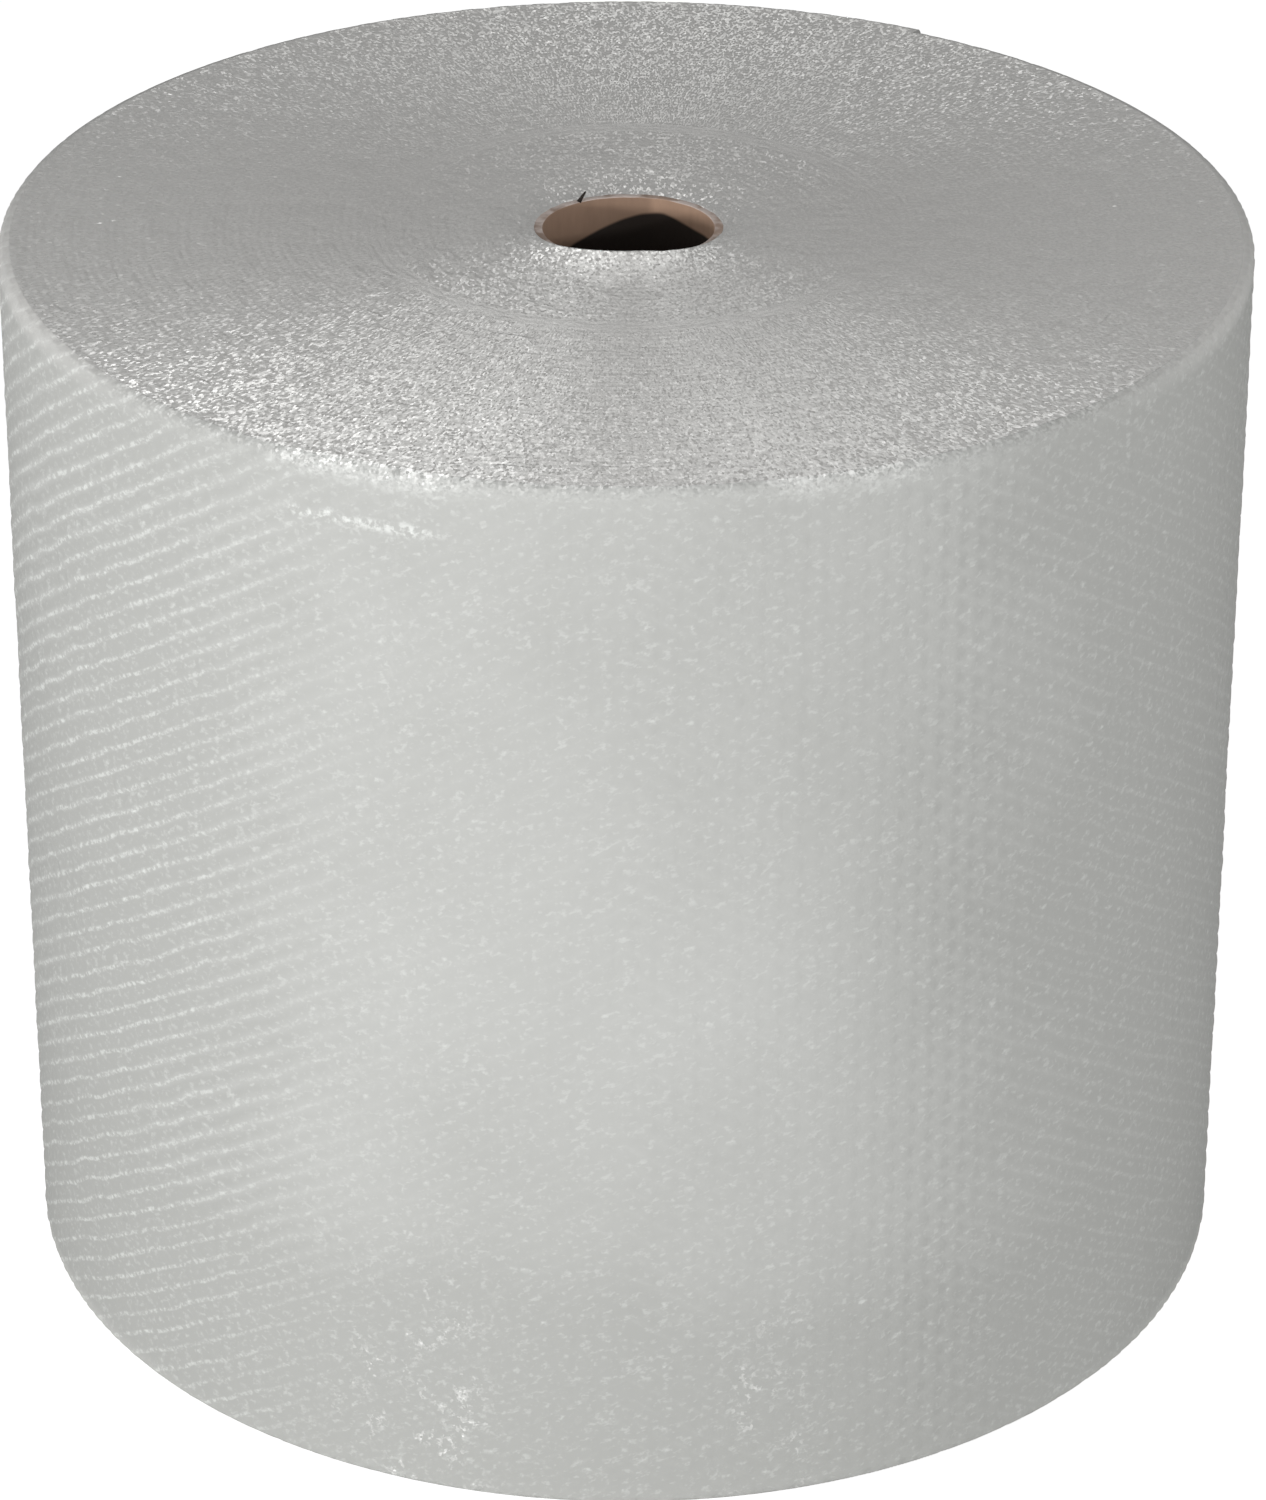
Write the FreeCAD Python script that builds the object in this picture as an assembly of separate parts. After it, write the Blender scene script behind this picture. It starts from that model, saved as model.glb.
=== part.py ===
import FreeCAD, Part
import math
import os

# A roll of small-bubble cushioning film wound on a cardboard tube, standing on one end.
# The origin is on the tube's axis at the lower end, +Z runs up the axis, and -Y is the front.
# All sizes are in millimetres and all angles in degrees.

# The cardboard tube, which is cut as long as the film is wide
CORE_BORE = 77.0
CORE_WALL = 4.5

# The wound film, which stands FILM_WIDTH high and is widest at its free end
FILM_WIDTH = 500.0
ROLL_DIAMETER = 568.0
TURN_THICKNESS = 4.0
RIM_RADIUS = 6.0
RIM_FACETS = 3

# The turns show on both ends as one spiral step, which takes in a few turns of film at
# each pass: the outer edge of a pass stands proud of the pass outside it. The land is the
# flat ring inside the rounded rim that the roll stands on, and the crests end inside it.
TURNS_PER_STEP = 6
STEP_DEPTH = 4.0
CREST_INSET = 0.5
RIM_LAND = 3.0

# The free end of the film, as an angle from the front towards the right
TAIL_ANGLE = 150.0

# The pressed-in place on the upper rim, as an angle from the front towards the right
DENT_ANGLE = -23.0
DENT_WIDTH = 96.0
DENT_DROP = 26.0

# How far a cutting shape runs past the face that it cuts
OVERRUN = 20.0

CORE_RADIUS = CORE_BORE / 2 + CORE_WALL
ROLL_RADIUS = ROLL_DIAMETER / 2
STEP_PITCH = TURNS_PER_STEP * TURN_THICKNESS

UP = FreeCAD.Vector(0, 0, 1)
CENTRE = FreeCAD.Vector(0, 0, 0)


def half_turned(edges, centre_x, start):
    """A closed section in the XZ plane, turned through half a circle about an upright axis.

    start is 1 for the half that runs from +X through +Y to -X, and -1 for the other one.
    """
    face = Part.Face(Part.Wire(edges))
    face.translate(FreeCAD.Vector(centre_x, 0, 0))
    if start < 0:
        face.rotate(FreeCAD.Vector(centre_x, 0, 0), UP, 180)
    return face.revolve(FreeCAD.Vector(centre_x, 0, 0), UP, 180)


def spiral(step, section):
    """Two halves about two centres, which join into a spiral that loses one step each turn.

    section gives the closed section of a half from how much smaller that half is.
    """
    first = half_turned(section(0), step / 4, 1)
    second = half_turned(section(step / 2), -step / 4, -1)
    return first.fuse(second)


def point(r, z):
    return FreeCAD.Vector(r, 0, z)


def polygon_edges(corners):
    """Straight edges round a closed list of corners."""
    ring = corners + corners[:1]
    return [Part.makeLine(a, b) for a, b in zip(ring, ring[1:])]


def stepped_section(shrink):
    """The film's section with a step down outside each pass, rising past the rim outside."""
    slope = (STEP_DEPTH - CREST_INSET) / STEP_PITCH
    land_edge = ROLL_RADIUS - STEP_PITCH / 4 - shrink - RIM_RADIUS - RIM_LAND
    step = land_edge - STEP_DEPTH / slope
    outside = land_edge + RIM_RADIUS + RIM_LAND + STEP_PITCH
    stairs = [(outside, slope * (outside - land_edge))]
    while step > STEP_PITCH:
        stairs.append((step, -STEP_DEPTH))
        stairs.append((step, -CREST_INSET))
        step -= STEP_PITCH
    stairs.append((0, -STEP_DEPTH))
    top = [point(r, FILM_WIDTH + z) for r, z in stairs]
    bottom = [point(r, -z) for r, z in stairs]
    return polygon_edges(top + bottom[::-1])


def wall_section(shrink):
    """The section of the film's wall, with each rim rounded off in straight facets."""
    wall = ROLL_RADIUS - TURN_THICKNESS / 4 - shrink
    rim = []
    for i in range(RIM_FACETS + 1):
        turn = math.radians(90 * i / RIM_FACETS)
        rim.append((wall - RIM_RADIUS * (1 - math.cos(turn)), RIM_RADIUS * (1 - math.sin(turn))))
    lower = [point(r, z) for r, z in rim]
    upper = [point(r, FILM_WIDTH - z) for r, z in rim]
    return polygon_edges([point(0, 0)] + lower[::-1] + upper + [point(0, FILM_WIDTH)])


def rim_dent():
    """A slab that leans over the upper rim and presses a crescent into it."""
    sink = ROLL_RADIUS - math.sqrt(ROLL_RADIUS ** 2 - (DENT_WIDTH / 2) ** 2)
    lean = math.degrees(math.atan2(sink, DENT_DROP))
    slab = Part.makeBox(2 * DENT_WIDTH, OVERRUN, DENT_DROP + 2 * OVERRUN,
                        FreeCAD.Vector(-DENT_WIDTH, -OVERRUN, 0))
    slab.rotate(CENTRE, FreeCAD.Vector(1, 0, 0), -lean)
    slab.translate(FreeCAD.Vector(0, -ROLL_RADIUS, FILM_WIDTH - DENT_DROP))
    slab.rotate(CENTRE, UP, DENT_ANGLE)
    return slab


def make_core_tube():
    outer = Part.makeCylinder(CORE_RADIUS, FILM_WIDTH)
    return outer.cut(Part.makeCylinder(CORE_BORE / 2, FILM_WIDTH))


def make_wound_film():
    roll = spiral(STEP_PITCH, stepped_section).common(spiral(TURN_THICKNESS, wall_section))
    roll.rotate(CENTRE, UP, TAIL_ANGLE - 90)
    bore = Part.makeCylinder(CORE_RADIUS, FILM_WIDTH + 2 * OVERRUN, FreeCAD.Vector(0, 0, -OVERRUN))
    return roll.cut([bore, rim_dent()]).removeSplitter()


def export(name, shape):
    solids = shape.Solids
    if len(solids) != 1 or not solids[0].isValid():
        raise RuntimeError(name + " is not one valid solid")
    solids[0].exportStep("parts/" + name + ".step")
    print(name, "volume", round(solids[0].Volume), "mm3")


os.makedirs("parts", exist_ok=True)
export("core_tube", make_core_tube())
export("wound_film", make_wound_film())
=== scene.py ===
"""A roll of small-bubble cushioning film on a cardboard tube, standing on its end."""

import math
import random

import bmesh
import bpy
from mathutils import Euler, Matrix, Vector, noise


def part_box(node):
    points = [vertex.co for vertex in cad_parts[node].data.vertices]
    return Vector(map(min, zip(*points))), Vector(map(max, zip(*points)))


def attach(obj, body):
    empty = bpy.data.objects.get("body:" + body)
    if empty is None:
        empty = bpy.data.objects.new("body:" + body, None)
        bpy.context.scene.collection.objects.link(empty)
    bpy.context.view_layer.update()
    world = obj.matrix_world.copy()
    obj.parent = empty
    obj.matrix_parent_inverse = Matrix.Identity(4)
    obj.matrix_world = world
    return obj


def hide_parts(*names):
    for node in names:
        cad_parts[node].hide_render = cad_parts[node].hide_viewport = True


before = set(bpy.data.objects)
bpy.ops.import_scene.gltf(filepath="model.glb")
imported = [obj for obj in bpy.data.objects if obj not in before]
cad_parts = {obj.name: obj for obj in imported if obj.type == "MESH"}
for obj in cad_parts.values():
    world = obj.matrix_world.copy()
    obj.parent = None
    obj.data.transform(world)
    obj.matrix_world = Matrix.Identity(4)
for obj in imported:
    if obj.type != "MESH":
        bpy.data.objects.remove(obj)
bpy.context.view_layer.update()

bl_info = {
    "name": "Bubble Film Roll",
    "version": (1, 0, 0),
    "blender": (4, 5, 0),
    "location": "3D View > Sidebar > Roll",
    "description": "Dresses a roll of small-bubble cushioning film and sets up its studio",
    "category": "Object",
}

FILM_LOW, FILM_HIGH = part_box("wound_film")
TUBE_LOW, TUBE_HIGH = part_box("core_tube")
MM = 0.001
WHOLE_TURN = 2 * math.pi
DEPTH_SHOWN = 40 * MM  # how deep in the bore the "depth" attribute reaches 1

# Where the photograph was taken from, measured from its outline
CAMERA_PLACE = (0, -2.507, 1.5547)
CAMERA_TURN = (math.radians(90 - 27.8), math.radians(-0.11), 0)
CAMERA_LENS = 171.8

# Each softbox as seen from the middle of the upper end: degrees to the right of the front,
# degrees up, distance and side length in metres
SOFTBOXES = {"key_softbox": (-43, 7, 1.7, 0.12), "side_softbox": (34.6, 15.6, 2.2, 0.12)}


# Sizes and colours that a user would change

class RollSizes(bpy.types.PropertyGroup):
    film_width: bpy.props.FloatProperty(
        name="Film width", description="Height of the standing roll",
        default=FILM_HIGH[2] - FILM_LOW[2], unit="LENGTH")
    roll_radius: bpy.props.FloatProperty(
        name="Roll radius", description="Radius of the wound film at its free end",
        default=0.284, unit="LENGTH")
    tube_radius: bpy.props.FloatProperty(
        name="Tube radius", description="Outside radius of the cardboard tube",
        default=(TUBE_HIGH[0] - TUBE_LOW[0]) / 2, unit="LENGTH")
    turn_thickness: bpy.props.FloatProperty(
        name="Turn thickness", description="Thickness of one turn of film",
        default=0.004, unit="LENGTH")
    rim_radius: bpy.props.FloatProperty(
        name="Rim radius", description="Rounding of the outer turn at both ends",
        default=0.006, unit="LENGTH")
    bubble_columns: bpy.props.IntProperty(
        name="Bubble columns", description="Upright columns of bubbles round the roll",
        default=198, min=12)
    bubble_rows: bpy.props.IntProperty(
        name="Bubble rows", description="Bubbles in one upright column",
        default=46, min=4)
    bubble_height: bpy.props.FloatProperty(
        name="Bubble height", description="How far a bubble stands out of the outer turn",
        default=0.0008, unit="LENGTH")
    edge_depth: bpy.props.FloatProperty(
        name="Edge depth", description="Depth of the grooves between the turns on the ends",
        default=0.0002, unit="LENGTH")
    bore_radius: bpy.props.FloatProperty(
        name="Bore radius", description="Inside radius of the cardboard tube",
        default=0.0385, unit="LENGTH")
    tube_skew: bpy.props.FloatProperty(
        name="Tube skew", description="How much lower the back of the tube's upper end is cut",
        default=0.0033, unit="LENGTH")
    tail_angle: bpy.props.FloatProperty(
        name="Free end", description="Angle of the film's free end from the right-hand side",
        default=math.radians(60), subtype="ANGLE")
    dent_angle: bpy.props.FloatProperty(
        name="Dent angle", description="Angle of the dent in the upper rim from the front",
        default=math.radians(-23), subtype="ANGLE")
    dent_width: bpy.props.FloatProperty(
        name="Dent width", description="Width of the dent along the upper rim",
        default=0.096, unit="LENGTH")
    dent_drop: bpy.props.FloatProperty(
        name="Dent drop", description="How far the dent reaches down the wall",
        default=0.026, unit="LENGTH")


class RollColours(bpy.types.PropertyGroup):
    film_bright: bpy.props.FloatVectorProperty(
        name="Film, bright", description="Milky film where many layers show through",
        default=(0.665, 0.672, 0.652), subtype="COLOR", min=0, max=1)
    # Painted highlight: the light marks on the bubbles, the streaks along the rows, the patches on the rim
    # and the line along the crease are painted glints in this colour.
    film_painted_glint: bpy.props.FloatVectorProperty(
        name="Film, marks", description="Small light marks on the bubbles",
        default=(0.86, 0.875, 0.85), subtype="COLOR", min=0, max=1)
    # Painted shade: the wall is painted darker towards the bottom and towards both sides by leaning to this
    # dull colour.
    film_dull: bpy.props.FloatVectorProperty(
        name="Film, dull", description="Film in the hollows between the bubbles",
        default=(0.52, 0.525, 0.505), subtype="COLOR", min=0, max=1)
    edge_bright: bpy.props.FloatVectorProperty(
        name="Cut edges, bright", description="Crests of the turns on the ends",
        default=(0.97, 0.955, 0.925), subtype="COLOR", min=0, max=1)
    # The grooves get a little more of the dull colour than the crests: slight painted shade in the grooves.
    edge_dull: bpy.props.FloatVectorProperty(
        name="Cut edges, dull", description="Grooves between the turns on the ends",
        default=(0.82, 0.805, 0.78), subtype="COLOR", min=0, max=1)
    board: bpy.props.FloatVectorProperty(
        name="Board", description="Brown board of the tube",
        default=(0.46, 0.30, 0.21), subtype="COLOR", min=0, max=1)
    board_cut: bpy.props.FloatVectorProperty(
        name="Board, cut", description="Cut ends of the tube, dusted with film",
        default=(0.92, 0.80, 0.74), subtype="COLOR", min=0, max=1)
    # Painted shadow: the near-black of the bore below the painted shadow edge.
    board_dark: bpy.props.FloatVectorProperty(
        name="Board, deep inside", description="Board that no light reaches",
        default=(0.012, 0.008, 0.006), subtype="COLOR", min=0, max=1)


class StageSettings(bpy.types.PropertyGroup):
    key_power: bpy.props.FloatProperty(
        name="Key light", description="Power of the softbox on the left", default=10.0, unit="POWER")
    side_power: bpy.props.FloatProperty(
        name="Side light", description="Power of the softbox on the right", default=8.2, unit="POWER")
    fill_level: bpy.props.FloatProperty(
        name="Fill", description="Brightness of the surroundings near the horizon", default=0.96)
    ceiling_level: bpy.props.FloatProperty(
        name="Ceiling", description="Brightness of the surroundings overhead", default=0.20)


# Shader nodes

class Signal:
    """A number in a node tree, on which Python's operators add Math nodes."""

    def __init__(self, nodes, socket):
        self.nodes = nodes
        self.socket = socket

    def maths(self, operation, *others):
        sockets = dict(enumerate((self, *others)))
        return self.nodes.node("ShaderNodeMath", {"operation": operation}, sockets)

    def __add__(self, other):
        return self.maths("ADD", other)

    def __sub__(self, other):
        return self.maths("SUBTRACT", other)

    def __rsub__(self, other):
        return self.maths("MULTIPLY", -1.0).maths("ADD", other)

    def __mul__(self, other):
        return self.maths("MULTIPLY", other)

    __radd__ = __add__
    __rmul__ = __mul__


class Nodes:
    """A node tree, with one method that adds any node to it."""

    def __init__(self, tree):
        self.tree = tree

    def node(self, kind, settings=None, sockets=None, out=0):
        """Adds a node: its settings first, then the values or links of its sockets."""
        made = self.tree.nodes.new(kind)
        for name, value in (settings or {}).items():
            if name == "stops":
                ramp = made.color_ramp.elements
                while len(ramp) < len(value):
                    ramp.new(0.5)
                for stop, (place, colour) in zip(ramp, value):
                    stop.position = place
                    stop.color = (*colour, 1)
            else:
                setattr(made, name, value)
        for name, value in (sockets or {}).items():
            socket = made.inputs[name]
            if isinstance(value, Signal):
                self.tree.links.new(value.socket, socket)
            elif hasattr(socket.default_value, "__len__") and len(socket.default_value) == 4:
                socket.default_value = (*value[:3], 1)
            else:
                socket.default_value = value
        return Signal(self, made.outputs[out])

    def parts(self, vector):
        """The three numbers in a vector."""
        split = self.node("ShaderNodeSeparateXYZ", None, {0: vector}).socket.node
        return [Signal(self, socket) for socket in split.outputs]


class Finish(Nodes):
    """A material for the roll, and the nodes in it."""

    def __init__(self, name):
        self.material = bpy.data.materials.new(name)
        self.material.use_nodes = True
        super().__init__(self.material.node_tree)
        self.tree.nodes.clear()

    def mix(self, factor, a, b):
        """A colour between a and b."""
        return self.node("ShaderNodeMix", {"data_type": "RGBA"}, {0: factor, 6: a, 7: b}, out=2)

    def vector(self, operation, *values, out=0):
        return self.node("ShaderNodeVectorMath", {"operation": operation}, dict(enumerate(values)), out)

    def scaled(self, vector, scale):
        return self.vector("MULTIPLY", vector, scale)

    def stretched(self, vector, length):
        """The vector made longer by a number that may itself vary."""
        return self.node("ShaderNodeVectorMath", {"operation": "SCALE"}, {0: vector, 3: length})

    def object_place(self):
        return self.node("ShaderNodeTexCoord", out=3)

    def attribute(self, name):
        return self.node("ShaderNodeAttribute", {"attribute_name": name}, out=2)

    def outwards(self, place):
        """The level direction away from the roll's axis."""
        return self.vector("NORMALIZE", self.scaled(place, (1.0, 1.0, 0.0)))

    def made_normal(self, vector):
        """A direction on the part as a normal, which turns with the part."""
        return self.node("ShaderNodeVectorTransform", {
            "vector_type": "NORMAL", "convert_from": "OBJECT", "convert_to": "WORLD"}, {0: vector})

    def noise(self, vector, scale, detail=2.0, roughness=0.5):
        return self.node("ShaderNodeTexNoise", None, {
            "Vector": vector, "Scale": scale, "Detail": detail, "Roughness": roughness})

    def between(self, value, low, high, to_low=0.0, to_high=1.0):
        """value carried from low..high to to_low..to_high, smoothly and no further."""
        return self.node("ShaderNodeMapRange", {"interpolation_type": "SMOOTHSTEP"}, {
            "Value": value, "From Min": low, "From Max": high, "To Min": to_low, "To Max": to_high})

    def patches(self, vector, scale, low, high, to_low=0.0, to_high=1.0, detail=2.0, roughness=0.6):
        """Noise with its contrast raised into patches."""
        return self.between(self.noise(vector, scale, detail, roughness), low, high, to_low, to_high)

    def bump(self, height, strength, distance):
        return self.node("ShaderNodeBump", None, {
            "Height": height, "Strength": strength, "Distance": distance})

    def stripe(self, value, middle, half, soft):
        """1 where value is within half of the middle, falling to 0 over soft beyond that."""
        off = (value - middle).maths("ABSOLUTE")
        return self.between(off, half, half + soft, 1.0, 0.0)

    def sector(self, turned, middle, half, soft):
        """A stripe up the wall or across an end, with its angles in degrees."""
        return self.stripe(turned, math.radians(middle), math.radians(half), math.radians(soft))

    def reach(self, place):
        """Distance from the roll's axis."""
        return self.vector("LENGTH", self.scaled(place, (1.0, 1.0, 0.0)), out=1)

    def turned(self, place):
        """Angle from the front, growing towards the right."""
        x, y, z = self.parts(place)
        return x.maths("ARCTAN2", 0.0 - y)

    def glitter(self, place, under, share):
        """The shader under, with a share of film specks that stand up and face in or out."""
        outwards = self.outwards(place)
        along = self.vector("CROSS_PRODUCT", (0.0, 0.0, 1.0), outwards)

        # Specks are longer across the winding, except near the tube, where they would get too thin.
        wound = self.node("ShaderNodeCombineXYZ", None, {
            0: self.reach(place) * 0.5, 1: self.turned(place) * 0.22, 2: self.parts(place)[2]})
        far = self.between(self.reach(place), 0.11, 0.12)
        spread = self.mix(far, self.scaled(place, (0.9, 0.5, 1.0)), wound)
        speck = self.node("ShaderNodeTexVoronoi", None, {"Vector": spread, "Scale": 1100.0}, out=1)

        # A few specks lean inwards, more of them at the back.
        lean, turn, rise = self.parts(speck)
        rear = self.between(self.parts(place)[1], -0.1, 0.2)
        lean = lean - rear * 0.3
        facing = self.vector("ADD", self.stretched(outwards, self.between(lean, 0.1, 0.2, -1.3, 1.3)),
                             self.stretched(along, (turn - 0.5) * 1.5))
        facing = self.vector("ADD", facing, self.stretched((0.0, 0.0, 1.0), rise * 0.6 + 0.2))
        specks = self.plastic({"Base Color": (0.95, 0.95, 0.93), "Metallic": 1.0, "Roughness": 0.53,
                               "Normal": self.made_normal(facing)})
        share = share * self.between(lean, 0.1, 0.2, rear * 0.7 + 0.3, 1.0)
        return self.blend(share, under, specks)

    def blend(self, share, under, over):
        """The shader under, with a share of the shader over."""
        return self.node("ShaderNodeMixShader", None, {0: share, 1: under, 2: over})

    def plastic(self, sockets):
        return self.node("ShaderNodeBsdfPrincipled", None, sockets)

    def show(self, shader):
        """Ends the material with this shader on its surface."""
        self.tree.links.new(shader.socket, self.tree.nodes.new("ShaderNodeOutputMaterial").inputs["Surface"])
        return self.material


def wall_rows(finish, sizes, place):
    """Painted highlights: streaks, and the soft light bands about them, where slanting rows of bubbles are
    seen edge-on; also painted shade towards both sides of the wall.
    """
    x, y, z = finish.parts(place)
    row = z * (sizes.bubble_rows / sizes.film_width)
    row = row + finish.turned(place).maths("ABSOLUTE") * (sizes.bubble_columns / (2 * WHOLE_TURN))
    row = (row + finish.noise(place, 45.0) * 0.5).maths("FRACT")
    edge_on = finish.between(
        x.maths("ABSOLUTE"), 0.35 * sizes.roll_radius, 0.85 * sizes.roll_radius, 0.12, 1.0)
    dots = finish.patches(place, 380.0, 0.42, 0.64, 0.05, 1.0, 3.0, 0.65)
    lit = finish.between(x, -0.2 * sizes.roll_radius, 0.5 * sizes.roll_radius, 1.0, 0.3)
    # The streaks and bands are painted highlights, stronger on the lit left; the last term paints shade
    # towards both sides, more on the left.
    painted_streak = finish.stripe(row, 0.5, 0.04, 0.13) * dots * edge_on * lit
    band = finish.stripe(row, 0.5, 0.1, 0.4) * edge_on * lit
    return painted_streak, band * 0.5 - edge_on * (lit * 0.3 + 0.5)


def dent_marks(finish, sizes, place):
    """Where painted highlights go on the upper rim, at the dent and right of the front, and where the crease
    under the dent lies.
    """
    z = finish.parts(place)[2]
    turned = finish.turned(place)
    off = turned - sizes.dent_angle
    painted_rim_patch = ((finish.sector(off, 0, 6, 5) + finish.sector(turned, 19, 4, 5) * 0.8)
            * finish.between(z, 0.4 * sizes.film_width, 0.6 * sizes.film_width)
            * finish.patches(place, 85.0, 0.3, 0.5, 0.25, 1.0))
    waver = finish.noise(place, 60.0) * (6 * MM)
    crease = (finish.stripe(z + waver, sizes.film_width - 22 * MM, 0.5 * MM, 3.2 * MM)
              * finish.sector(off, 0, 5, 4))
    return painted_rim_patch, crease


def foot_sparkle(finish, sizes, place):
    """Two columns of sparkling specks, low on the wall, placed where the softboxes' glints fall: a painted
    glint placement.
    """
    turned = finish.turned(place)
    column = finish.sector(turned, -20, 5, 5) + finish.sector(turned, 13, 2, 3)
    column = column * finish.patches(place, 45.0, 0.45, 0.6, detail=1.0, roughness=0.5)
    low = finish.between(finish.parts(place)[2], 0.06 * sizes.film_width, 0.3 * sizes.film_width, 1.0, 0.1)
    return finish.patches(place, 300.0, 0.54, 0.62) * column * low


def wall_finish(sizes, colours):
    """Milky film: soft light from the many layers under a clear skin that keeps small glints."""
    finish = Finish("bubble_film_wall")
    place = finish.object_place()
    mark, rim = finish.attribute("mark"), finish.attribute("rim")
    x, y, z = finish.parts(place)
    broken = finish.patches(place, 330.0, 0.42, 0.62)
    painted_streak, painted_bands_and_side_shade = wall_rows(finish, sizes, place)
    painted_rim_patch, crease = dent_marks(finish, sizes, place)

    # Dull film turns bright where more layers show through, at random; it is painted darker towards the
    # bottom and the sides, and carries painted glints: small light marks, streaks along the rows, patches on
    # the rim and a line along the crease.
    cloud = finish.noise(place, 6.0, 3.0)
    # Painted shade: the wall is darker towards the bottom.
    painted_low_shade = finish.between(z, 0.0, 0.3 * sizes.film_width, 0.9, 0.0)
    fullness_and_painted_shade = cloud * 1.4 - 0.3 + painted_bands_and_side_shade - painted_low_shade
    colour = finish.mix(fullness_and_painted_shade, tuple(colours.film_dull), tuple(colours.film_bright))
    # Painted highlight: light patches on the rim at the dent and right of the front.
    colour = finish.mix(rim * painted_rim_patch * broken, colour, tuple(colours.film_painted_glint))
    # Painted glints: the slanted specks, the marks on the upper part of each bubble, the row streaks and the
    # line along the crease are painted highlights.
    slanted = finish.node("ShaderNodeVectorRotate", {"rotation_type": "Y_AXIS"}, {
        "Vector": place, "Angle": math.radians(22)})
    specks = finish.patches(finish.scaled(slanted, (0.6, 0.6, 1.0)), 430.0, 0.54, 0.72)
    light = (finish.between(mark, 0.3, 0.9) * broken * 0.3 + specks * 0.28 + painted_streak * 0.7
             + crease * broken * 0.8)
    colour = finish.mix(light, colour, tuple(colours.film_painted_glint))
    # Painted light: the rounded rim is lightened towards the cut edges' bright colour, except at the front.
    rim_painted_light = finish.between(y, -0.8 * sizes.roll_radius, -0.3 * sizes.roll_radius)
    colour = finish.mix(rim * rim_painted_light * 0.65, colour, tuple(colours.edge_bright))

    # The layers take light as the plain wall would; only the skin follows the bubbles.
    shape = finish.node("ShaderNodeNewGeometry", out=1)
    outwards = finish.made_normal(finish.outwards(place))
    soft = finish.vector("ADD", shape, finish.stretched(outwards, 11.0 - rim * 11.0))
    layers = finish.plastic({
        "Base Color": colour, "Roughness": 0.6, "IOR": 1.2, "Normal": finish.vector("NORMALIZE", soft)})
    crinkle = finish.noise(place, 420.0, 2.0, 0.6)
    ripple = finish.noise(place, 75.0)
    smooth = finish.patches(place, 20.0, 0.5, 0.75, detail=1.0, roughness=0.5)
    skin = finish.plastic({
        "Base Color": colour, "Roughness": 0.42 - smooth * 0.2, "IOR": 1.5,
        "Normal": finish.bump(crinkle * 0.5 + ripple + crease * 0.6, 0.6, 1.0 * MM)})
    share = rim * rim * (painted_rim_patch * 0.45 + 0.22) + foot_sparkle(finish, sizes, place) * 0.4
    return finish.show(finish.glitter(place, finish.blend(0.22, layers, skin), share))


def edge_finish(sizes, colours):
    """The crumpled cut edges of the turns, which glitter across the winding."""
    finish = Finish("bubble_film_edges")
    place = finish.object_place()
    cloud = finish.noise(place, 7.0)
    crumple = finish.noise(place, 620.0, 2.0, 0.6)
    reach = finish.reach(place)
    outer = finish.between(reach, 0.3 * sizes.roll_radius, sizes.roll_radius)
    near = finish.between(reach, sizes.tube_radius, 1.7 * sizes.tube_radius, 1.0, 0.0)
    # Painted light in the speck share: fewer mirror specks in the front, between the glint lobes, and more
    # on the far left.
    dip = finish.sector(finish.turned(place), -1, 0, 17)
    left = finish.between(finish.parts(place)[0], -sizes.roll_radius, -0.5 * sizes.roll_radius, 1.0, 0.0)
    # The crest term lightens the crests a little over the grooves: slight painted shade in the grooves.
    tone = finish.attribute("crest") * 0.05 + crumple * 4.0 + cloud * 0.5 + outer * 0.7 - 2.1
    colour = finish.mix(tone, tuple(colours.edge_dull), tuple(colours.edge_bright))
    film = finish.plastic({
        "Base Color": colour, "Roughness": 0.5, "IOR": 1.5, "Normal": finish.bump(crumple, 0.6, 0.6 * MM)})
    share = finish.patches(place, 480.0, 0.35, 0.65, 0.3, 0.46, 3.0, 0.7)
    share = share * (outer * 0.4 + near * 0.7 + left * 0.4 + 0.6) * (1.0 - dip * 0.5)
    return finish.show(finish.glitter(place, film, share))


def board_finish(colours):
    """Brown board with a paper grain, paler where it was cut; in the bore, painted shade left of the middle
    and a painted shadow with a slanting edge, near-black below it.
    """
    finish = Finish("core_board")
    place = finish.object_place()
    fibres = finish.noise(finish.scaled(place, (1.0, 1.0, 0.25)), 260.0, 4.0, 0.6)
    blotch = finish.noise(place, 22.0, 3.0)

    def shade(share):
        return tuple(min(1.0, share * c) for c in colours.board)

    colour = finish.mix(fibres * 0.6 + blotch * 0.6 - 0.1, shade(0.72), shade(1.25))
    # Painted shade: the board is darker left of a line a little right of the axis.
    side = finish.parts(place)[0]
    colour = finish.mix(finish.between(side, 8 * MM, 12 * MM, 0.4, 0.0), colour, shade(0.4))
    # Painted shadow: deeper than this slanting edge the bore turns near-black.
    shadow = (finish.between(side, -40 * MM, 16 * MM, 22 * MM, 6 * MM)
              + finish.between(side, 14 * MM, 32 * MM, 0.0, 4 * MM))
    below = finish.attribute("depth") * DEPTH_SHOWN - shadow
    colour = finish.mix(finish.between(below, 0.0, 2 * MM, 0.0, 0.97), colour, tuple(colours.board_dark))
    worn = finish.patches(place, 110.0, 0.35, 0.6, 0.2, 0.9, roughness=0.5)
    colour = finish.mix(finish.attribute("cut") * worn, colour, tuple(colours.board_cut))
    return finish.show(finish.plastic({
        "Base Color": colour, "Roughness": 0.85, "Normal": finish.bump(fibres, 0.4, 0.4 * MM)}))


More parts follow.
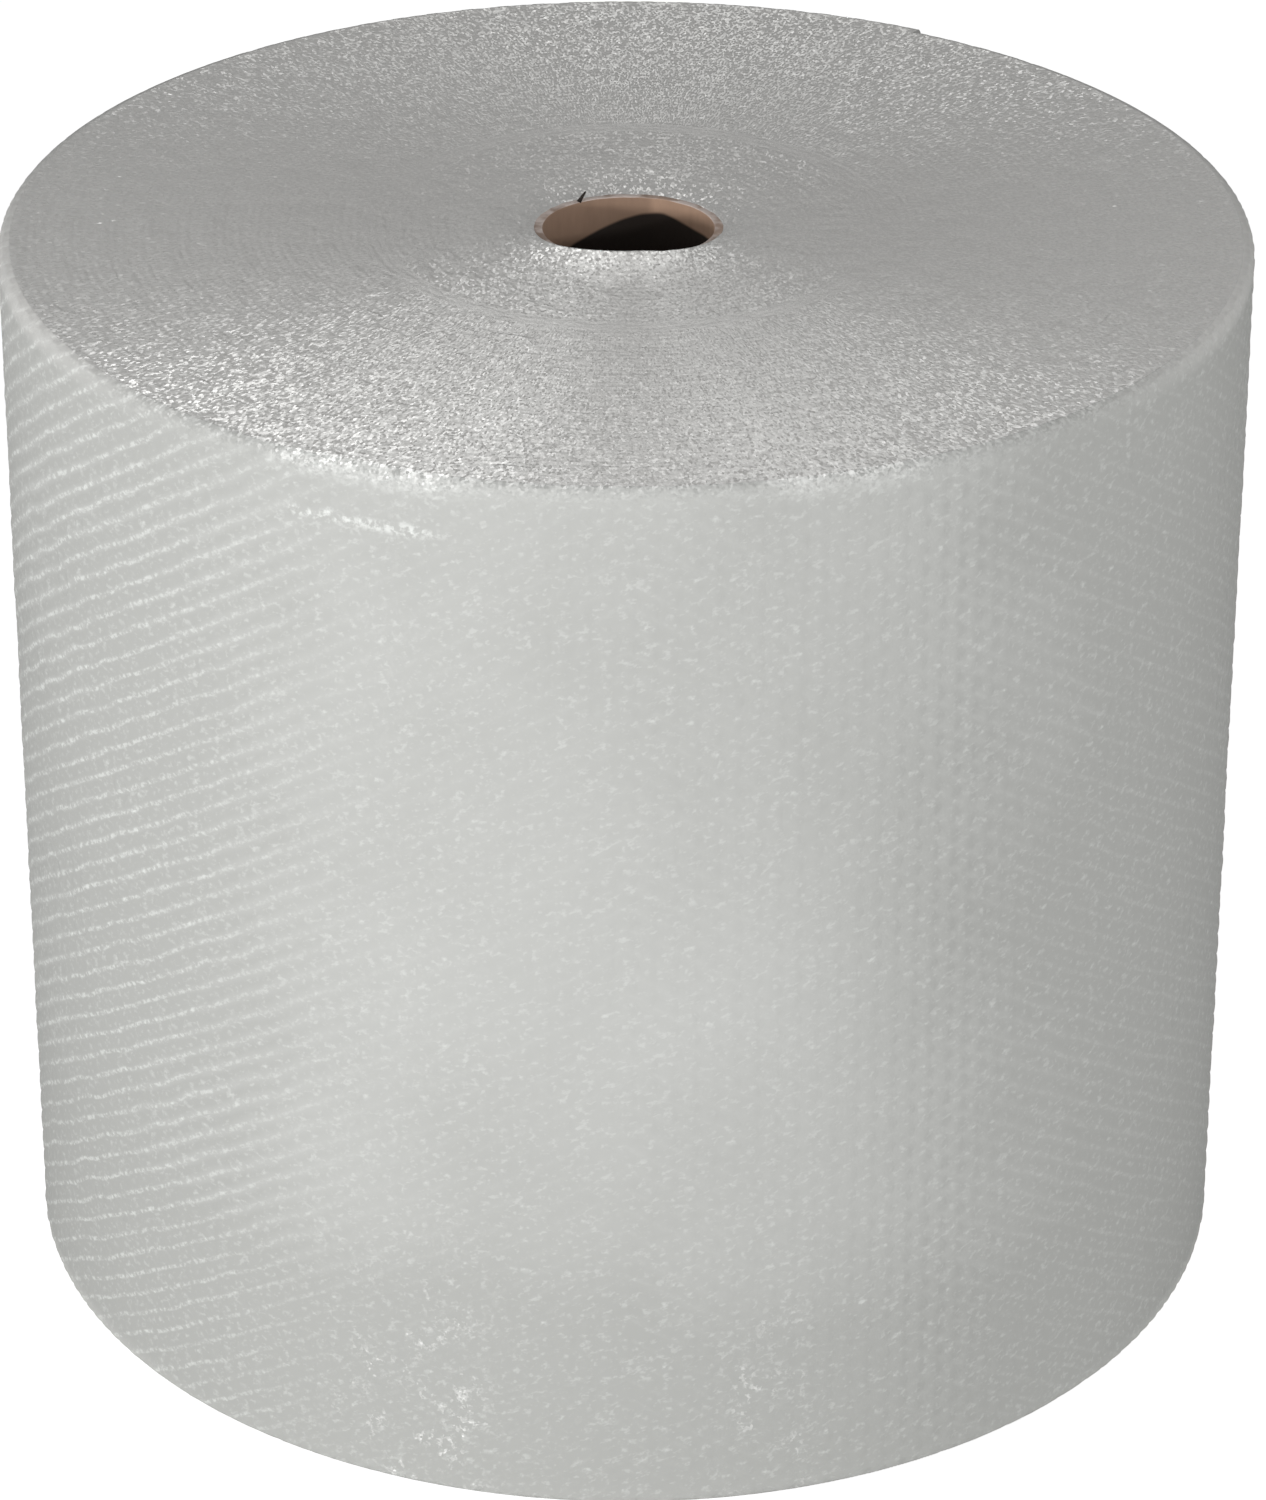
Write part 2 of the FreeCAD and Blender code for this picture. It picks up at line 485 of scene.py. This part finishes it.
def floor_finish():
    """Pale floor that the camera sees as white, with the roll's shadow on it."""
    finish = Finish("studio_floor")
    path = finish.node("ShaderNodeLightPath", out=0)
    speckle = finish.noise(finish.object_place(), 30.0)
    colour = finish.mix(speckle, (0.80, 0.80, 0.80), (0.84, 0.84, 0.84))
    paper = finish.plastic({"Base Color": colour, "Roughness": 0.9})
    lift = finish.node("ShaderNodeEmission", None, {"Color": (1, 1, 1), "Strength": 0.75})
    lifted = finish.node("ShaderNodeAddShader", None, {0: paper, 1: lift})
    return finish.show(finish.blend(path, paper, lifted))


def surroundings(settings):
    """A white world for the camera; for all other rays it is darker overhead and at the back."""
    world = bpy.data.worlds.new("studio")
    world.use_nodes = True
    sky = Nodes(world.node_tree)
    x, y, z = sky.parts(sky.node("ShaderNodeTexCoord"))
    height = sky.node("ShaderNodeMapRange", None, {
        "Value": z, "From Max": 0.7, "To Min": settings.fill_level, "To Max": settings.ceiling_level})
    front = sky.node("ShaderNodeMapRange", None, {
        "Value": y, "From Min": -1.0, "To Min": 1.4, "To Max": 0.5})
    path = sky.node("ShaderNodeLightPath").socket.node.outputs
    seen = Signal(sky, path["Is Camera Ray"]).maths("MAXIMUM", Signal(sky, path["Is Transmission Ray"]))
    level = sky.node("ShaderNodeMix", None, {0: seen, 2: height * front, 3: 1.0})
    background = world.node_tree.nodes["Background"]
    background.inputs["Color"].default_value = (1, 1, 1, 1)
    world.node_tree.links.new(level.socket, background.inputs["Strength"])
    return world


# Shapes

def roll_piece(name, bm, material, node="wound_film"):
    """Makes an object of a finished bmesh, riding on the roll in place of a CAD node."""
    mesh = bpy.data.meshes.new(name)
    bm.to_mesh(mesh)
    bm.free()
    for face in mesh.polygons:
        face.use_smooth = True
    mesh.materials.append(material)
    piece = bpy.data.objects.new(name, mesh)
    bpy.context.scene.collection.objects.link(piece)
    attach(piece, "root")
    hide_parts(node)
    return piece


def wall_radius(sizes, wound):
    """Distance of the outer turn from the axis, from the angle wound back from its free end."""
    quarter = sizes.turn_thickness / 4
    if wound <= math.pi:
        return sizes.roll_radius - quarter + quarter * math.cos(wound)
    return sizes.roll_radius - 3 * quarter - quarter * math.cos(wound)


def outer_length(sizes):
    """Length of the film in the outer turn."""
    return WHOLE_TURN * (sizes.roll_radius - sizes.turn_thickness / 2)


def dented(sizes, radius, polar, height):
    """radius, pressed in where the dent is; also returns how much of the dent is there."""
    off = (polar + math.pi / 2 - sizes.dent_angle + math.pi) % WHOLE_TURN - math.pi
    depth = (height - (sizes.film_width - sizes.dent_drop)) / sizes.dent_drop
    if abs(off) > 0.5 or depth < -0.3:
        return radius, 0.0
    half = sizes.dent_width / 2
    sink = sizes.roll_radius - math.sqrt(sizes.roll_radius ** 2 - half ** 2)
    flat = (sizes.roll_radius - sink * depth) / math.cos(off)
    press = max(0.0, radius - flat)
    return radius - press, min(1.0, press / (0.35 * sink))


def flat_bubbles(sizes, first, last):
    """A flat strip of bubble columns: X along the film, Y across its width, Z out of it."""
    along = outer_length(sizes) / sizes.bubble_columns
    across = sizes.film_width / sizes.bubble_rows
    turn = sizes.rim_radius * (math.pi / 2 - 1)
    bm = bmesh.new()
    mark = bm.verts.layers.float.new("mark")
    bmesh.ops.create_circle(bm, cap_ends=True, segments=6, radius=1.0)
    bmesh.ops.rotate(bm, verts=bm.verts, matrix=Euler((0, 0, math.radians(30))).to_matrix())
    bmesh.ops.scale(bm, verts=bm.verts, vec=(along / 1.5, across / math.sqrt(3), 1))
    middle = bm.faces[:]
    rise = sizes.bubble_height
    bmesh.ops.inset_individual(bm, faces=middle, thickness=0.7 * MM, use_even_offset=True)
    bmesh.ops.inset_individual(bm, faces=middle, thickness=1.6 * MM, use_even_offset=True)
    bmesh.ops.translate(bm, verts=middle[0].verts, vec=(0, 0, 0.62 * rise))
    # The upper part of each bubble is marked for a painted glint.
    for vert in middle[0].verts:
        vert[mark] = float(vert.co.y > 0.1 * across)
    top = bmesh.ops.poke(bm, faces=middle)["verts"]
    bmesh.ops.translate(bm, verts=top, vec=(0, 0, 0.38 * rise))
    bmesh.ops.translate(bm, verts=bm.verts, vec=((first + 0.5) * along, -across, 0))

    def repeated(count, step):
        """Copies everything made so far until there are count of it, each a step further on."""
        single = bm.verts[:] + bm.edges[:] + bm.faces[:]
        for i in range(1, count):
            copied = bmesh.ops.duplicate(bm, geom=single)["geom"]
            bmesh.ops.translate(bm, verts=[v for v in copied if isinstance(v, bmesh.types.BMVert)],
                                vec=Vector(step) * i)

    repeated(sizes.bubble_rows + 3, (0, across, 0))
    repeated(2, (along, -across / 2, 0))
    bmesh.ops.remove_doubles(bm, verts=bm.verts, dist=0.01 * MM)
    repeated((last - first) // 2, (2 * along, 0, 0))
    bmesh.ops.remove_doubles(bm, verts=bm.verts, dist=0.01 * MM)
    for height, up in ((-turn, -1), (sizes.film_width + turn, 1)):
        bmesh.ops.bisect_plane(bm, geom=bm.verts[:] + bm.edges[:] + bm.faces[:],
                               plane_co=(0, height, 0), plane_no=(0, up, 0), clear_outer=True)
    return bm


def wall_sector(sizes, name, first, last, material):
    """One third of the outer turn, wrapped round the roll with its bubbles."""
    length = outer_length(sizes)
    along = length / sizes.bubble_columns
    opens, closes = first == 0, last == sizes.bubble_columns
    bm = flat_bubbles(sizes, first - 2 * opens, last + 2 * closes)
    for place, side, wanted in ((0, -1, opens), (length, 1, closes)):
        if wanted:
            bmesh.ops.bisect_plane(bm, geom=bm.verts[:] + bm.edges[:] + bm.faces[:],
                                   plane_co=(place, 0, 0), plane_no=(side, 0, 0), clear_outer=True)
    mark = bm.verts.layers.float["mark"]
    rim_share = bm.verts.layers.float.new("rim")
    rim, rise, width = sizes.rim_radius, sizes.bubble_height, sizes.film_width
    tail = {vert for vert in bm.verts if opens and vert.co.x < 0.01 * MM}
    draw = random.Random(first + 11)
    for vert in bm.verts:
        u, v, w = vert.co
        edge = min(v, width - v) + rim * (math.pi / 2 - 1)
        inside = min(1.0, max(0.0, (edge - 3 * MM) / (9 * MM)))
        vert[mark] *= inside * draw.uniform(0.4, 1.0)
        vert[rim_share] = max(0.0, 1 - edge / (14 * MM))
        if w > 0.9 * rise:
            u += draw.uniform(-1.4, 1.4) * MM
            v += draw.uniform(-1.4, 1.4) * MM
            w *= draw.uniform(0.55, 1.1)
        wound = u / length * WHOLE_TURN
        polar = sizes.tail_angle + wound
        swell = noise.noise(Vector((math.cos(polar) * 7, math.sin(polar) * 7, v * 22)))
        radius, press = dented(sizes, wall_radius(sizes, wound), polar, v)
        lift = (w - rise) * inside * (1 - 0.7 * press) + 0.3 * MM * (swell - 1) * inside
        over = max(rim - v, v - (width - rim), 0.0) / rim
        out = rim + lift
        x = radius - rim + out * math.cos(over)
        z = (width - rim + out * math.sin(over)) if v > width / 2 else (rim - out * math.sin(over))
        vert.co = (x * math.cos(polar), x * math.sin(polar), v if over == 0 else z)
    cut = [edge for edge in bm.edges if edge.is_boundary and tail.issuperset(edge.verts)]
    inwards = bmesh.ops.extrude_edge_only(bm, edges=cut)["geom"]
    step = 0.97 * sizes.turn_thickness
    bmesh.ops.translate(bm, verts=[part for part in inwards if isinstance(part, bmesh.types.BMVert)],
                        vec=(-step * math.cos(sizes.tail_angle), -step * math.sin(sizes.tail_angle), 0))
    return roll_piece(name, bm, material)


def turn_edges(sizes, name, segments, top, material):
    """The cut edges of all the turns on one end, in one spiral from the rim to the tube."""
    pitch = sizes.turn_thickness
    rings = math.ceil((sizes.roll_radius - sizes.rim_radius - sizes.tube_radius) / pitch * 4) + 3
    bm = bmesh.new()
    bmesh.ops.create_grid(bm, x_segments=rings, y_segments=segments, size=0.5)
    layer = bm.verts.layers.float.new("crest")
    inner = sizes.tube_radius - (1.2 * MM if top else 0.0)
    profile = (0.0, 0.62, 1.0, 0.55)
    side = 1 if top else -1
    for vert in bm.verts:
        ring = round((vert.co.x + 0.5) * rings)
        wound = (vert.co.y + 0.5) * WHOLE_TURN
        polar = sizes.tail_angle + wound
        c, s = math.cos(polar), math.sin(polar)
        inwards = ring * pitch / 4
        outer = wall_radius(sizes, wound)
        pressed = outer - dented(sizes, outer, polar, sizes.film_width)[0]
        squeezed = pressed * max(0.0, 1 - inwards / (45 * MM))
        radius = outer - sizes.rim_radius - inwards - squeezed
        x, y = radius * c, radius * s
        wobble = noise.noise(Vector((x * 70, y * 70, 3.0 + side)))
        own = noise.noise(Vector((c * 14, s * 14, (ring // 4 - wound / WHOLE_TURN) * 1.7 + side * 140)))
        fine = noise.noise(Vector((x * 230, y * 230, 9.0 + side)))
        fade = min(1.0, inwards / (6 * MM), max(0.0, (radius - sizes.tube_radius) / (4 * MM)))
        under = max(0.0, inner - radius)
        radius = max(radius + (0.7 * wobble + 0.8 * own + 0.4 * fine) * MM * fade, inner)
        crest = profile[ring % 4] * (0.75 + 0.5 * own)
        drop = sizes.edge_depth * (1.15 - crest) + (0.25 * fine + 0.3 * wobble) * MM * fade
        drop = max(0.0, drop) * min(1.0, inwards / (5 * MM))
        if top:
            front, back = max(0.0, -s) ** 2, 0.5 + 0.5 * s
            near = max(0.0, 1 - (radius - sizes.tube_radius) / (30 * MM)) ** 2
            drop += (sizes.tube_skew * back - 4.2 * MM * front) * near
        drop += 4 * under
        vert[layer] = crest
        vert.co = (radius * c, radius * s, sizes.film_width - drop if top else drop)
    bmesh.ops.remove_doubles(bm, verts=bm.verts, dist=0.02 * MM)
    if top:
        bmesh.ops.reverse_faces(bm, faces=bm.faces)
    return roll_piece(name, bm, material)


def tube(sizes, material):
    """The cardboard tube, with softened rims and an upper end that is cut a little out of square."""
    wall = sizes.tube_radius - sizes.bore_radius
    bm = bmesh.new()
    bmesh.ops.create_grid(bm, x_segments=1, y_segments=12, size=0.5)
    bmesh.ops.scale(bm, verts=bm.verts, vec=(wall, sizes.film_width, 1))
    bmesh.ops.rotate(bm, verts=bm.verts, matrix=Euler((math.radians(90), 0, 0)).to_matrix())
    bmesh.ops.translate(bm, verts=bm.verts, vec=(sizes.bore_radius + wall / 2, 0, sizes.film_width / 2))
    bmesh.ops.delete(bm, geom=bm.faces[:], context="FACES_KEEP_BOUNDARY")
    bmesh.ops.spin(bm, geom=bm.verts[:] + bm.edges[:], cent=(0, 0, 0), axis=(0, 0, 1),
                   angle=WHOLE_TURN, steps=128, use_merge=True)
    rims = [edge for edge in bm.edges if len(edge.link_faces) == 2 and edge.calc_face_angle() > 1.2]
    bmesh.ops.bevel(bm, geom=rims, offset=0.7 * MM, offset_type="OFFSET", segments=3, profile=0.5,
                    affect="EDGES", material=-1)
    bmesh.ops.recalc_face_normals(bm, faces=bm.faces)
    depth = bm.verts.layers.float.new("depth")
    cut = bm.verts.layers.float.new("cut")
    for vert in bm.verts:
        end = min(vert.co.z, sizes.film_width - vert.co.z)
        # depth places the painted shadow in the bore.
        vert[depth] = min(1.0, end / DEPTH_SHOWN)
        vert[cut] = float(end < 0.3 * MM)
        high = max(0.0, vert.co.z / sizes.film_width - 0.9) * 10
        back = 0.5 + 0.5 * vert.co.y / sizes.tube_radius
        fray = noise.noise(vert.co * 160)
        vert.co.z -= high * (sizes.tube_skew * back + 0.25 * MM * (1 + fray))

    # A small torn ply that stands up at the back of the rim; it is coloured with the near-black of the
    # painted shadow in the bore.
    ply = bmesh.ops.create_cube(bm, size=1.0)["verts"]
    for vert in ply:
        vert[depth] = 1.0
        vert.co.x *= 0.9 - vert.co.z
    bmesh.ops.scale(bm, verts=ply, vec=(1.5 * MM, 0.5 * MM, 6 * MM))
    bmesh.ops.rotate(bm, verts=ply, matrix=Euler((0, math.radians(32), 0)).to_matrix())
    bmesh.ops.translate(bm, verts=ply, vec=(-21 * MM, 32 * MM, sizes.film_width - 0.5 * MM))
    return roll_piece("board_tube", bm, material, "core_tube")


# Operators

class ROLL_OT_film_wall(bpy.types.Operator):
    """Wraps the outer turn of film round the roll, with its bubbles"""
    bl_idname = "roll.film_wall"
    bl_label = "Film wall"

    def execute(self, context):
        sizes, colours = context.scene.roll_sizes, context.scene.roll_colours
        material = wall_finish(sizes, colours)
        third = sizes.bubble_columns // 3
        for i in range(3):
            wall_sector(sizes, f"film_wall_{i + 1}", i * third, (i + 1) * third, material)
        return {"FINISHED"}


class ROLL_OT_film_ends(bpy.types.Operator):
    """Lays the cut edges of all the turns on both ends of the roll"""
    bl_idname = "roll.film_ends"
    bl_label = "Film ends"

    def execute(self, context):
        sizes, colours = context.scene.roll_sizes, context.scene.roll_colours
        material = edge_finish(sizes, colours)
        turn_edges(sizes, "upper_edges", 410, True, material)
        turn_edges(sizes, "lower_edges", 300, False, material)
        return {"FINISHED"}


class ROLL_OT_tube(bpy.types.Operator):
    """Makes the cardboard tube in the middle of the roll"""
    bl_idname = "roll.tube"
    bl_label = "Cardboard tube"

    def execute(self, context):
        tube(context.scene.roll_sizes, board_finish(context.scene.roll_colours))
        return {"FINISHED"}


class ROLL_OT_stage(bpy.types.Operator):
    """Sets up the pale floor, the softboxes, the surroundings and the camera"""
    bl_idname = "roll.stage"
    bl_label = "Stage"

    def execute(self, context):
        scene, settings, sizes = context.scene, context.scene.roll_stage, context.scene.roll_sizes
        bm = bmesh.new()
        bmesh.ops.create_grid(bm, x_segments=8, y_segments=8, size=12.0)
        bmesh.ops.translate(bm, verts=bm.verts, vec=(0, 0, -0.3 * MM))
        mesh = bpy.data.meshes.new("floor")
        bm.to_mesh(mesh)
        bm.free()
        mesh.materials.append(floor_finish())
        floor = bpy.data.objects.new("floor", mesh)
        scene.collection.objects.link(floor)

        powers = (settings.key_power, settings.side_power)
        for (name, (azimuth, elevation, distance, size)), power in zip(SOFTBOXES.items(), powers):
            light = bpy.data.lights.new(name, "AREA")
            light.energy = power
            light.size = size
            lamp = bpy.data.objects.new(name, light)
            a, e = math.radians(azimuth), math.radians(elevation)
            away = Vector((math.sin(a) * math.cos(e), -math.cos(a) * math.cos(e), math.sin(e)))
            lamp.location = Vector((0, 0, sizes.film_width)) + away * distance
            lamp.rotation_euler = away.to_track_quat("Z", "Y").to_euler()
            scene.collection.objects.link(lamp)

        data = bpy.data.cameras.new("camera")
        data.sensor_fit = "HORIZONTAL"
        data.sensor_width = 36.0
        data.lens = CAMERA_LENS
        data.clip_end = 100.0
        camera = bpy.data.objects.new("camera", data)
        camera.location = CAMERA_PLACE
        camera.rotation_euler = CAMERA_TURN
        scene.collection.objects.link(camera)
        scene.camera = camera
        scene.world = surroundings(settings)
        scene.view_settings.view_transform = "Standard"
        return {"FINISHED"}


class VIEW3D_PT_roll(bpy.types.Panel):
    bl_label = "Bubble film roll"
    bl_space_type = "VIEW_3D"
    bl_region_type = "UI"
    bl_category = "Roll"

    def draw(self, context):
        layout = self.layout
        for group in (context.scene.roll_sizes, context.scene.roll_colours, context.scene.roll_stage):
            for name in group.__annotations__:
                layout.prop(group, name)
        for operator in OPERATORS:
            layout.operator(operator.bl_idname)


OPERATORS = (ROLL_OT_film_wall, ROLL_OT_film_ends, ROLL_OT_tube, ROLL_OT_stage)
CLASSES = (RollSizes, RollColours, StageSettings, *OPERATORS, VIEW3D_PT_roll)


def register():
    for cls in CLASSES:
        bpy.utils.register_class(cls)
    bpy.types.Scene.roll_sizes = bpy.props.PointerProperty(type=RollSizes)
    bpy.types.Scene.roll_colours = bpy.props.PointerProperty(type=RollColours)
    bpy.types.Scene.roll_stage = bpy.props.PointerProperty(type=StageSettings)


def unregister():
    del bpy.types.Scene.roll_sizes, bpy.types.Scene.roll_colours, bpy.types.Scene.roll_stage
    for cls in reversed(CLASSES):
        bpy.utils.unregister_class(cls)


def main():
    register()
    bpy.ops.roll.film_wall()
    bpy.ops.roll.film_ends()
    bpy.ops.roll.tube()
    bpy.ops.roll.stage()


if __name__ == "__main__":
    main()
